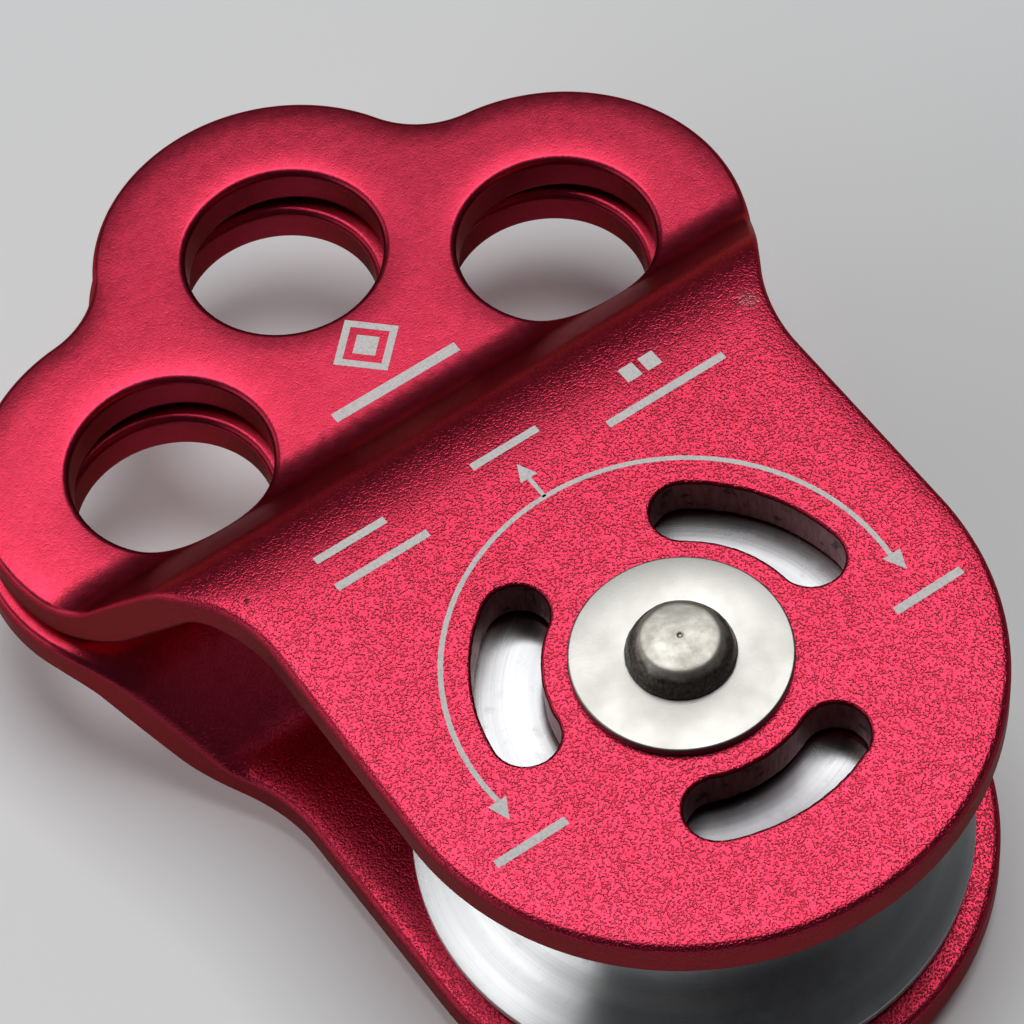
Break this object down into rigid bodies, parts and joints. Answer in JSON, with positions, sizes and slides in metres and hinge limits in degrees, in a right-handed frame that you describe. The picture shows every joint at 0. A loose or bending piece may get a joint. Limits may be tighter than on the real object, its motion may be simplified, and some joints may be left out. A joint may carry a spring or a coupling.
{
  "type": "rope pulley",
  "caption": "Swing-cheek rope pulley: two jogged red side plates on a riveted axle, a grooved metal sheave between them and attachment eyes at the far end.",
  "frame": {"origin": "centre of the flat end of the axle's rear head, on the axle axis; the lowest point of the pulley lying on its back", "axes": "+Z along the axle from the rear cheek to the front cheek, +Y from the axle towards the middle eye, +X to the right seen from the front"},
  "size_m": [0.0794, 0.1097, 0.0395],
  "materials": {
    "red_anodised": "red anodised, fine bead-blasted grain, satin",
    "satin_steel": "satin, faint turning marks and pits",
    "worn_steel": "upset rivet head, worn bright dome, dark flank",
    "turned_aluminium": "turned, fine circumferential lines",
    "bearing_steel": "ground and polished",
    "ball_steel": "polished",
    "black_rubber": "matt",
    "cage_brass": "satin"
  },
  "bodies": {
    "rear_cheek": {"rear_side_plate": "red_anodised", "rear_washer": "satin_steel", "axle": "worn_steel", "front_washer": "satin_steel", "front_spacer": "turned_aluminium", "rear_spacer": "turned_aluminium", "bearing_inner_race": "bearing_steel"},
    "front_cheek": {"front_side_plate": "red_anodised"},
    "sheave_wheel": {"sheave": "turned_aluminium", "bearing_outer_race": "bearing_steel", "bearing_front_seal": "black_rubber", "bearing_rear_seal": "black_rubber"},
    "ball_set": {"bearing_cage": "cage_brass", "ball_01": "ball_steel", "ball_02": "ball_steel", "ball_03": "ball_steel", "ball_04": "ball_steel", "ball_05": "ball_steel", "ball_06": "ball_steel", "ball_07": "ball_steel"}
  },
  "joints": [
    {"name": "cheek_swing", "type": "hinge", "parent": "rear_cheek", "child": "front_cheek", "pos_m": [0, 0, 0.0338], "axis": [0, 0, 1], "continuous": true},
    {"name": "sheave_spin", "type": "hinge", "parent": "rear_cheek", "child": "sheave_wheel", "pos_m": [0, 0, 0.0197], "axis": [0, 0, 1], "continuous": true},
    {"name": "ball_set_spin", "type": "hinge", "parent": "rear_cheek", "child": "ball_set", "pos_m": [0, 0, 0.0197], "axis": [0, 0, 1], "continuous": true}
  ],
  "couplings": [
    {"joint": "ball_set_spin", "follows": "sheave_spin", "ratio": 0.62667}
  ]
}
